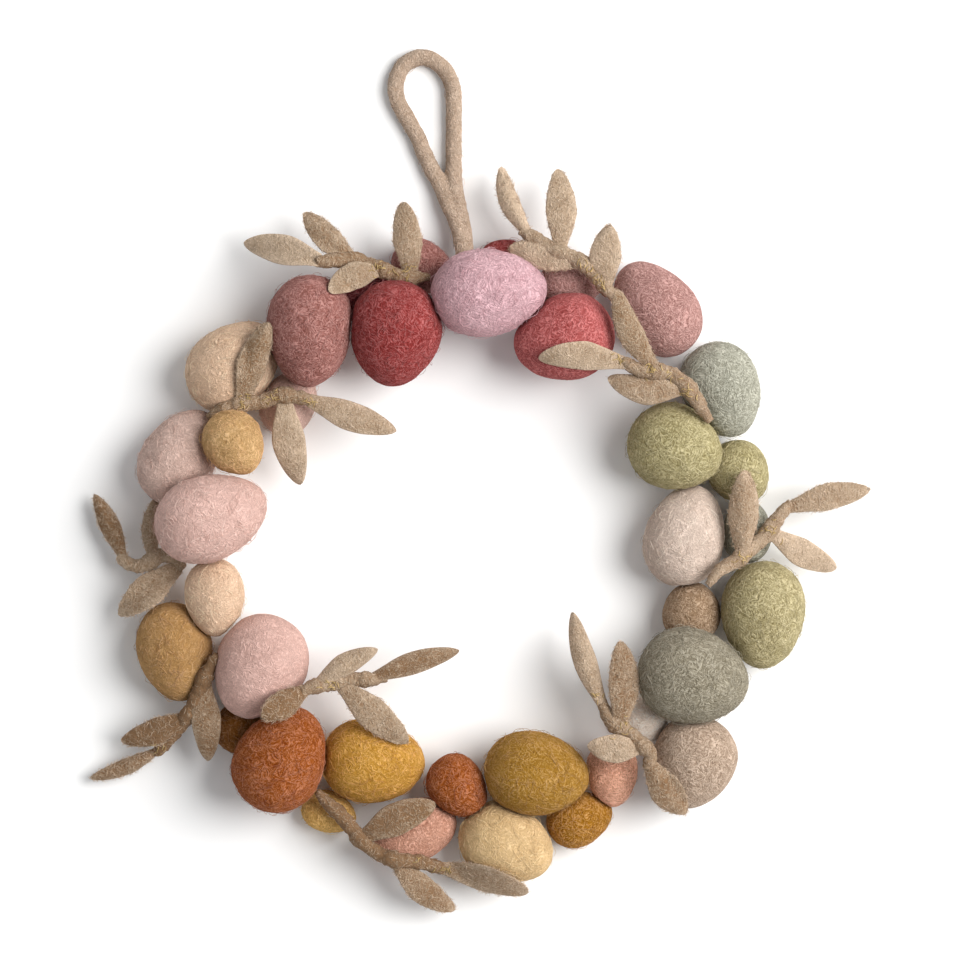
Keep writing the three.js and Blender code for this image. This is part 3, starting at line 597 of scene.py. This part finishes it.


# Sprigs

# over: the eggs that lift the sprig. stem: the points that it runs through. sewn: where gold thread shows.
# The list after sewn is painted shade on the stem and on each leaf, for where they lie in shadow or face away
# from the light, and painted light where it is below nought. Each leaf: place of its root, its tip, width, how far
# it bends to its left, how far its middle rises, how far its edges droop below its ridge.
sprigTable = {
    "top_left": {
        "over": ("egg_maroon_back", "egg_mauve_back", "egg_mauve_large"),
        "stem": ((-69, 90.5, 22), (-60.5, 91.5, 24), (-52, 91.5, 25), (-39.5, 87, 26), (-33, 85, 26),
                 (-21.5, 84.5, 24)),
        "sewn": ((-41.6, 89.3), (-31.1, 87.2)),
        "deep": (0.25, -0.2, 0.12, 0.05, 0.07),
        "leaves": (
            ((-66, 91.5), (-100, 99.5, 17), 13, -1, 2, 1),
            ((-53.5, 90.5), (-74.5, 112, 20), 11.3, 1, 3, 1.5),
            ((-40.5, 89), (-63.5, 78.5, 32), 11.8, -2, 4, 1),
            ((-29, 86.5), (-32.5, 116, 30), 12.2, 0, 3, 1.5),
        )},
    "top_right": {
        "over": ("egg_raspberry_back", "egg_orchid_back", "egg_dusty_rose"),
        "stem": ((16.5, 104, 22), (23.5, 100.5, 23), (30, 96.5, 25), (38, 93, 27), (44.5, 89, 28),
                 (51, 81.5, 28), (56, 75.5, 27)),
        "sewn": ((44.1, 88), (49.6, 82.1)),
        "deep": (0, -0.25, -0.05, -0.2, -0.08),
        "leaves": (
            ((21.5, 102.5), (8.5, 131.5, 16), 8.8, 2.5, 2, 2.5),
            ((34, 96.5), (32.5, 130.5, 20), 13, -1, 3, 1),
            ((41.5, 89), (12, 97, 21), 12.6, 0, 2, 1),
            ((52, 79.5), (54, 106.5, 31), 13.4, 1, 3, 1.5),
        )},
    "right_shoulder": {
        "over": ("egg_coral_large", "egg_dusty_rose", "egg_sage_large"),
        "stem": ((59, 49.5, 38), (67.5, 45, 38), (79, 44, 37), (85, 39.5, 37), (91, 31.5, 35), (96, 24, 32)),
        "sewn": ((58, 51.9), (71.8, 46), (79.4, 46), (86.5, 36.8)),
        "deep": (0.12, -0.1, 0.2, 0.1),
        "leaves": (
            ((59, 49.5), (24, 50.5, 40), 12, -2, 2, 1),
            ((74, 45), (56.5, 79, 42), 11, 3, 3, 1.5),
            ((88, 39.5), (53, 42, 34), 12.6, 3, 3, 1),
        )},
    "upper_left": {
        "over": ("egg_pale_back", "egg_apricot_large"),
        "stem": ((-114.5, 26, 24), (-109, 29, 26), (-100.5, 31.5, 28), (-92, 32.5, 28), (-83.5, 35, 28),
                 (-75, 34, 28), (-71, 33, 27)),
        "sewn": ((-99.1, 32.6), (-86.9, 34.2), (-69.7, 32.6)),
        "deep": (0.18, 0.22, -0.08, -0.02),
        "leaves": (
            ((-100.5, 32.5), (-88.5, 65.5, 37), 12.6, 1, 3, 3),
            ((-82.5, 34), (-76, -2.5, 21), 14, -1.5, 3, 1),
            ((-72, 32.5), (-35.5, 20, 23), 12.6, -0.5, 2, 1),
        )},
    "left": {
        "over": ("egg_camel",),
        "stem": ((-153, -32.5, 12), (-148.5, -36, 13), (-142.5, -36.5, 14), (-136, -32.5, 14),
                 (-130, -33, 14), (-125.5, -38, 14)),
        "sewn": (),
        "deep": (0, 0.35, 0, 0.07),
        "leaves": (
            ((-150, -34), (-163.8, -6.5, 8), 8.8, -0.5, 2, 2.5),
            ((-141, -31.5), (-137.5, -8, 12), 8.4, 1, 1, 2),
            ((-127.5, -37), (-153, -57.5, 12), 13.9, 0, 4, 1),
        )},
    "lower_left": {
        "over": ("egg_camel", "egg_mustard_back"),
        "stem": ((-137.5, -116.5, 10), (-132, -110, 13), (-123.5, -100, 18), (-119.5, -92.5, 22),
                 (-116, -84, 26), (-111, -73.5, 29)),
        "sewn": ((-136.1, -115.7),),
        "deep": (0.50, 0.50, 0.30, 0.24),
        "leaves": (
            ((-123.5, -99), (-152, -111, 11), 11.2, 1.5, 2, 1),
            ((-137.5, -116.5), (-165.5, -127, 6), 7, 1.5, 1, 2),
            ((-116, -84), (-115, -119, 16), 12.6, 0, 3, 1),
        )},
    "inner_left": {
        "over": ("egg_pink_round", "egg_rust_large", "egg_golden"),
        "stem": ((-75, -88.5, 38), (-69, -86.5, 36), (-62.5, -85.5, 34), (-56.5, -84, 33), (-46, -84, 32),
                 (-39.5, -83.5, 31)),
        "sewn": ((-62.2, -87.2),),
        "deep": (0.12, -0.05, 0.42, 0.07, 0.26),
        "leaves": (
            ((-70, -84), (-43, -71, 38), 9.5, 1.4, 2, 2),
            ((-75, -89), (-91, -99.5, 44), 11.8, 0, 2, 1),
            ((-59, -86.5), (-30.5, -110.5, 32), 13.5, -0.5, 3, 1),
            ((-46.5, -83.5), (-9, -72, 28), 9.7, 1, 3, 2),
        )},
    "bottom": {
        "over": ("egg_mustard_low", "egg_rose_low", "egg_golden", "egg_cream"),
        "stem": ((-69, -131.5, 23), (-62.5, -138, 23), (-56.5, -144, 23), (-50, -152, 23), (-44, -157, 22),
                 (-36, -160, 20), (-25, -161.5, 19), (-14.5, -165, 18)),
        "sewn": ((-23.9, -158.6), (-13.4, -163.2)),
        "deep": (0.42, 0.36, 0.25, 0.12),
        "leaves": (
            ((-49, -149.5), (-19, -136, 29), 14, 1, 3, 1),
            ((-36.5, -160.5), (-11, -182.5, 11), 11.8, -2, 2, 1),
            ((-14.5, -163), (20, -174, 15), 11.8, 1, 2, 1),
        )},
    "lower_right": {
        "over": ("egg_off_white", "egg_terra_small", "egg_taupe_pink"),
        "stem": ((51, -94.5, 30), (55, -102, 32), (61.5, -106, 33), (67.5, -111.5, 34), (71, -115.5, 34),
                 (69.5, -121, 33)),
        "sewn": ((50, -91.4), (61.3, -102.7)),
        "deep": (0.13, -0.08, 0.2, -0.08, 0.25),
        "leaves": (
            ((51, -94.5), (38.5, -56, 24), 10, 1.5, 3, 2),
            ((59, -102), (58.5, -68, 32), 13, -1.5, 3, 1),
            ((67.5, -113), (44.5, -111.5, 36), 12.2, 1, 2, 1),
            ((67.5, -120), (86, -140.5, 29), 14, -1, 3, 2.5),
        )},
    "right": {
        "over": ("egg_blush", "egg_sage_back", "egg_moss_small"),
        "stem": ((95, -44.5, 31), (100.5, -38, 31), (107.5, -34, 29), (114, -28.5, 26), (120, -23.5, 24),
                 (124.5, -17, 23), (130.5, -10, 22)),
        "sewn": ((123.1, -22.1), (111.7, -31.7)),
        "deep": (0, 0.07, 0.05, -0.2),
        "leaves": (
            ((109, -31.5), (110.5, 3.5, 31), 13, 0, 4, 3),
            ((130.5, -8.5), (164, -4.5, 19), 11.3, 1, 2, 1),
            ((123.5, -24), (150, -38, 15), 11.8, -1, 2, 1),
        )},
}
cordNoise = (17.3, 7.9, 3.1)
stemSet = {"thick": 6.2, "rise": 3.0, "keep": 4, "steps": 60, "endShare": 0.5, "drawnOver": 1.5, "rings": 110,
           "lump": 0.60, "lumpSize": 2.4, "noiseStep": cordNoise, "knot": 0.22, "knotLong": 4.0, "fibres": 2.4}
leafSet = {"thick": 2.3, "clear": 1.0, "across": 28, "along": 46, "base": 0.44, "widest": 0.45,
           "blunt": (0.50, 0.66), "foot": 0.05, "edgeRound": (0.8, 0.6), "thinning": 3.2, "twist": 0.10,
           "wave": 0.7, "waveSize": 9.0, "edgeWave": 0.06, "edgeWaveSize": 8.0, "grain": 0.20, "grainSize": 3.0,
           "noiseLong": 35, "noiseStep": (9.1, 4.7, 13.3), "rimFrom": 0.86, "fibres": 120, "edgeFuzz": 170}
leafFibres = {**fibreSet, "points": 4, "long": (1.5, 4.4), "strays": 0.45, "strayLift": 0.85, "kink": 0.35}
edgeFibres = {**leafFibres, "points": 3, "long": (0.9, 2.4), "strays": 0.95, "strayLift": 1.15, "curl": 0.5}
edgeFacing = 0.6  # a leaf's edge is where its felt faces up or down less than this
threadSet = {"thick": 0.38, "count": 12, "long": (1.8, 4.0), "bend": 0.3, "patch": 2.0, "arch": 0.45,
             "sunk": 0.25, "points": 6, "from": 90, "steepest": 2.5}


# Points spaced evenly along a smooth curve through the given ones
def smoothPath(points, steps, between=24):
    ends = [points[0] * 2 - points[1], *points, points[-1] * 2 - points[-2]]
    knots = [0.0]
    for a, b in zip(ends, ends[1:]):
        knots.append(knots[-1] + math.sqrt((b - a).length))
    fine = []
    for i in range(1, len(ends) - 2):
        p, k = ends[i - 1:i + 3], knots[i - 1:i + 3]
        for j in range(between):
            t = k[1] + (k[2] - k[1]) * j / between
            level = [p[n] * ((k[n + 1] - t) / (k[n + 1] - k[n])) + p[n + 1] * ((t - k[n]) / (k[n + 1] - k[n]))
                     for n in range(3)]
            level = [level[n] * ((k[n + 2] - t) / (k[n + 2] - k[n]))
                     + level[n + 1] * ((t - k[n]) / (k[n + 2] - k[n])) for n in range(2)]
            fine.append(level[0] * ((k[2] - t) / (k[2] - k[1])) + level[1] * ((t - k[1]) / (k[2] - k[1])))
    fine.append(points[-1].copy())
    reached = [0.0]
    for a, b in zip(fine, fine[1:]):
        reached.append(reached[-1] + (b - a).length)
    spaced, at = [], 0
    for i in range(steps + 1):
        wanted = reached[-1] * i / steps
        while at < len(fine) - 2 and reached[at + 1] < wanted:
            at += 1
        share = (wanted - reached[at]) / (reached[at + 1] - reached[at])
        spaced.append(fine[at].lerp(fine[at + 1], share))
    return spaced


# A rolled felt cord along a path, its thickness given at each point, with felting lumps
def cordMesh(name, path, thicks, kit, deep, seed):
    curve = bpy.data.curves.new(name, "CURVE")
    curve.dimensions = "3D"
    curve.bevel_depth = 0.5 * mm
    curve.bevel_resolution = 4
    curve.use_fill_caps = True
    spline = curve.splines.new("POLY")
    spline.points.add(len(path) - 1)
    spline.points.foreach_set("co", [c for p in path for c in (*(p * mm), 1.0)])
    spline.points.foreach_set("radius", thicks)
    holder = bpy.data.objects.new(name, curve)
    mesh = bpy.data.meshes.new_from_object(holder)
    bpy.data.objects.remove(holder)
    bpy.data.curves.remove(curve)
    away = noisePlace(kit, seed)
    bm = bmesh.new()
    bm.from_mesh(mesh)
    bmesh.ops.remove_doubles(bm, verts=bm.verts, dist=mergeGap)
    bmesh.ops.recalc_face_normals(bm, faces=bm.faces)
    bm.normal_update()
    # Each cord carries one painted shade: darker where its sprig lies in shade, painted light below nought; the
    # loop gets none
    painted_shade = bm.verts.layers.float.new("painted_shade")
    for vert in bm.verts:
        lump = kit["lump"] * noise.fractal(vert.co / mm / kit["lumpSize"] + away, 1.0, 2.0, 3)
        vert.co += vert.normal * lump * mm
        vert[painted_shade] = deep
    bm.to_mesh(mesh)
    bm.free()
    return mesh


# Width of a leaf along its midline, as a share of its widest: narrow where it is sewn on, rounded at its tip
def leafOutline(share, blunt):
    run = min(1.0, share / 0.5)
    base = leafSet["base"] + (1 - leafSet["base"]) * run * run * (3 - 2 * run)
    foot = math.sqrt(min(1.0, share / leafSet["foot"]))
    along = max(0.0, (share - leafSet["widest"]) / (1 - leafSet["widest"]))
    return base * foot * max(0.0, 1 - along ** 1.9) ** blunt


# A number of its own for each face, from its vertices
def faceOrder(face):
    first, second, third = sorted(vert.index for vert in face.verts)[:3]
    return (first * 2048 + second) * 2048 + third


# A felt leaf from a ball: flattened, drawn out along its midline, its edges below or beside its ridge
def leafMesh(name, start, leaf, over, deep, seed):
    _, tip, wide, bow, arch, fold = leaf
    draw = random.Random(seed)
    blunt, twist = draw.uniform(*leafSet["blunt"]), draw.choice((-1, 1)) * leafSet["twist"]
    tip = Vector(tip) + partShift
    heading = Vector((tip.x - start.x, tip.y - start.y, 0)).normalized()
    left = Vector((-heading.y, heading.x, 0))
    middle = start.lerp(tip, 0.5) + left * bow * 2 + Vector((0, 0, arch * 2))
    away = noisePlace(leafSet, seed)
    bm = bmesh.new()
    rim, painted_shade = bm.verts.layers.float.new("rim"), bm.verts.layers.float.new("painted_shade")
    bmesh.ops.create_uvsphere(bm, u_segments=leafSet["across"], v_segments=leafSet["along"], radius=1)
    bm.verts.index_update()
    bm.faces.sort(key=faceOrder)  # the ball's faces come in another order on each run
    for vert in bm.verts:
        share = min(1.0, max(0.0, (1 - vert.co.z) / 2))
        ring = math.sqrt(max(0.0, 1 - vert.co.z ** 2))
        side = vert.co.x / ring if ring > 1e-5 else 0.0
        up = vert.co.y / ring if ring > 1e-5 else 0.0
        side = math.copysign(min(1.0, abs(side)) ** leafSet["edgeRound"][0], side)
        up = math.copysign(min(1.0, abs(up)) ** leafSet["edgeRound"][1], up)
        half = wide / 2 * leafOutline(share, blunt)
        flat = Vector((side * half, share * leafSet["noiseLong"], 0))
        wave = noise.noise(flat / leafSet["waveSize"] + away)
        edge = noise.noise(Vector((math.copysign(3.0, side), flat.y, 7)) / leafSet["edgeWaveSize"] + away)
        grain = noise.fractal(Vector((flat.x, flat.y, up)) / leafSet["grainSize"] + away, 1.0, 2.0, 3)
        spot = start * (1 - share) ** 2 + middle * 2 * share * (1 - share) + tip * share ** 2
        spot += left * side * half * (1 + leafSet["edgeWave"] * edge)
        spot.z -= fold * abs(side) ** 1.5 * leafOutline(share, 0.6)
        spot.z += leafSet["wave"] * wave * math.sin(math.pi * share) + twist * side * wide * (share - 0.3)
        spot.z = max(spot.z, coverOver(over, spot.x, spot.y) + leafSet["clear"] + leafSet["thick"] / 2)
        thin = min(1.0, leafSet["thinning"] * half / wide)
        spot.z += up * (leafSet["thick"] / 2 + leafSet["grain"] * grain) * thin
        vert.co = spot * mm
        vert[rim] = max(abs(side) ** 4, max(0.0, (share - leafSet["rimFrom"]) / (1 - leafSet["rimFrom"])))
        # painted shade on the leaf, where it lies in shadow or faces away from the light; below nought it is
        # painted light
        vert[painted_shade] = deep
    bmesh.ops.recalc_face_normals(bm, faces=bm.faces)
    mesh = bpy.data.meshes.new(name)
    bm.to_mesh(mesh)
    bm.free()
    return mesh, middle


def joinedMesh(name, parts):
    bm = bmesh.new()
    for part in parts:
        bm.from_mesh(part)
    mesh = bpy.data.meshes.new(name)
    bm.to_mesh(mesh)
    bm.free()
    return mesh


# Short bits of gold thread, laid over the felt below each sewn spot
def sewingMesh(name, spots, tree, draw, section):
    threads = []
    for x, y in spots:
        for _ in range(threadSet["count"]):
            turn = draw.uniform(0, math.tau)
            heading = Vector((math.cos(turn), math.sin(turn), 0)) * draw.uniform(*threadSet["long"])
            bend = Vector((-heading.y, heading.x, 0)) * draw.uniform(-threadSet["bend"], threadSet["bend"])
            centre = Vector((x + draw.gauss(0, threadSet["patch"]), y + draw.gauss(0, threadSet["patch"]), 0))
            places = []
            for i in range(threadSet["points"]):
                share = i / (threadSet["points"] - 1)
                spot = centre + heading * (share - 0.5) + bend * math.sin(math.pi * share)
                found = tree.ray_cast(Vector((spot.x, spot.y, threadSet["from"])) * mm, Vector((0, 0, -1)))[0]
                if found is None or (places and abs(found.z - places[-1].z) > threadSet["steepest"] * mm):
                    break
                sunk = threadSet["sunk"] if share in (0, 1) else 0
                rise = threadSet["arch"] * math.sin(math.pi * share) - sunk
                places.append(found + Vector((0, 0, rise * mm)))
            if len(places) > 3:
                threads.append(places)
    return threadMesh(name, threads, [draw.random() for _ in threads], section)


leafSection = threadSection(leafFibres["thick"])
sewingSection = threadSection(threadSet["thick"])
seed = 100
for sprigName, sprig in sprigTable.items():
    seed += 10
    node = "sprig_" + sprigName
    draw = random.Random(seed)
    points = []
    for x, y, z in sprig["stem"]:
        spot = Vector((x, y, z)) + partShift
        spot.z = max(z, coverOver(sprig["over"], spot.x, spot.y) + stemSet["rise"])
        points.append(spot)
    path = smoothPath(points, stemSet["rings"])
    places = smoothPath(points, stemSet["steps"])[stemSet["keep"]:-stemSet["keep"]]
    roots = [Vector((*leaf[0], 0)) + partShift for leaf in sprig["leaves"]]
    roots = [min(places, key=lambda p: math.hypot(p.x - r.x, p.y - r.y)) for r in roots]
    length = sum((q - p).length for p, q in zip(path, path[1:]))
    thicks = []
    for i, place in enumerate(path):
        inside = min(i, len(path) - 1 - i) / (len(path) - 1) * length
        full = min(1, inside / (stemSet["thick"] * stemSet["drawnOver"]))
        drawn = stemSet["endShare"] + (1 - stemSet["endShare"]) * full
        knot = max(0.0, 1 - min((place - root).length for root in roots) / stemSet["knotLong"])
        thicks.append(stemSet["thick"] * (drawn + stemSet["knot"] * knot * (2 - knot)))
    stem = cordMesh(node + "_stem", path, thicks, stemSet, sprig["deep"][0], seed)
    piece = addPiece(node + "_stem", stem, feltOf["leaf_oat"])
    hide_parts(node)
    starts = startsOn(stem, round(length * stemSet["fibres"]), draw)
    fuzz = [fibreMesh(node + "_fuzz", surfaceTree(stem), starts, leafFibres, draw, leafSection)]
    leaves = []
    for number, (leaf, start) in enumerate(zip(sprig["leaves"], roots), 1):
        name = node + "_leaf_" + str(number)
        mesh, middle = leafMesh(name, start, leaf, sprig["over"], sprig["deep"][number], seed + number)
        leaves.append(mesh)
        piece = addPiece(name, mesh, feltOf["leaf_oat"])
        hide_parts(node)
        felt = surfaceTree(mesh)
        starts = startsOn(mesh, leafSet["fibres"], draw)
        fuzz.append(fibreMesh(name + "_fuzz", felt, starts, leafFibres, draw, leafSection))
        starts = startsOn(mesh, leafSet["edgeFuzz"], draw, lambda face: abs(face.normal.z) < edgeFacing)
        fuzz.append(fibreMesh(name + "_edge", felt, starts, edgeFibres, draw, leafSection))
    addPiece(node + "_fibres", joinedMesh(node + "_fibres", fuzz), fibreOf["leaf_oat"])
    if sprig["sewn"]:
        top = surfaceTree(joinedMesh(node + "_top", [stem, *leaves]))
        sewing = sewingMesh(node + "_sewing", sprig["sewn"], top, draw, sewingSection)
        addPiece(node + "_sewing", sewing, goldThread)
print("sprigs made:", len(sprigTable))

# The hanging loop: one felt cord bent double, its halves felted together from the fork down
loopSet = {"thick": 7.0, "rings": 150, "lump": 0.34, "lumpSize": 3.6, "noiseStep": cordNoise, "voxel": 0.55,
           "smoothing": 3, "floor": 0.02, "fibres": 620}
loopFibres = {**leafFibres, "long": (2.5, 6.5), "strays": 0.25}
loopRight = ((-7, 88, 13), (-6.5, 95.5, 12), (-7.2, 105, 9), (-10, 117.5, 5.5), (-11.2, 126, 4),
             (-11.5, 140, 3.4), (-11.5, 160.5, 3.4), (-12, 167, 3.4), (-15, 173, 3.4), (-19.8, 177.5, 3.4),
             (-25.5, 179, 3.4), (-29, 178.2, 3.4))
loopLeft = ((-22, 178.6, 3.4), (-25.5, 179, 3.4), (-31, 177, 3.4), (-35, 172, 3.4), (-36.2, 166, 3.4),
            (-35, 160, 3.4), (-31, 152.5, 3.4), (-27, 145.5, 3.4), (-24, 138, 3.4), (-21, 132, 3.6),
            (-17, 124.5, 4.2), (-13.5, 116, 6.2), (-9, 105, 9.4), (-7.5, 95.5, 12.4), (-7, 88, 13))


# Separate parts grown into one felt
def fusedMesh(name, parts, kit):
    mesh = joinedMesh(name, parts)
    holder = bpy.data.objects.new(name, mesh)
    scene.collection.objects.link(holder)
    remesh = holder.modifiers.new("felting", "REMESH")
    remesh.mode = "VOXEL"
    remesh.voxel_size = kit["voxel"] * mm
    bpy.context.view_layer.update()
    fused = bpy.data.meshes.new_from_object(holder.evaluated_get(bpy.context.evaluated_depsgraph_get()))
    bpy.data.objects.remove(holder)
    bm = bmesh.new()
    bm.from_mesh(fused)
    for _ in range(kit["smoothing"]):
        bmesh.ops.smooth_vert(bm, verts=bm.verts, factor=0.5, use_axis_x=True, use_axis_y=True, use_axis_z=True)
    bm.to_mesh(fused)
    bm.free()
    return fused


halves = []
for number, points in enumerate((loopRight, loopLeft)):
    path = smoothPath([Vector(p) + partShift for p in points], loopSet["rings"])
    halves.append(cordMesh("loop_half", path, [loopSet["thick"]] * len(path), loopSet, 0.0, 300 + number))
loop = fusedMesh("hanging_loop_felt", halves, loopSet)
for vert in loop.vertices:
    vert.co.z = max(vert.co.z, loopSet["floor"] * mm)
piece = addPiece("hanging_loop_felt", loop, feltOf["loop_oat"])
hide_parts("hanging_loop")
draw = random.Random(400)
starts = startsOn(loop, loopSet["fibres"], draw)
fuzz = fibreMesh("hanging_loop_fibres", surfaceTree(loop), starts, loopFibres, draw, leafSection)
addPiece("hanging_loop_fibres", fuzz, fibreOf["loop_oat"])
for helper in (section, leafSection, sewingSection):
    bpy.data.objects.remove(helper)
print("hanging loop felted")
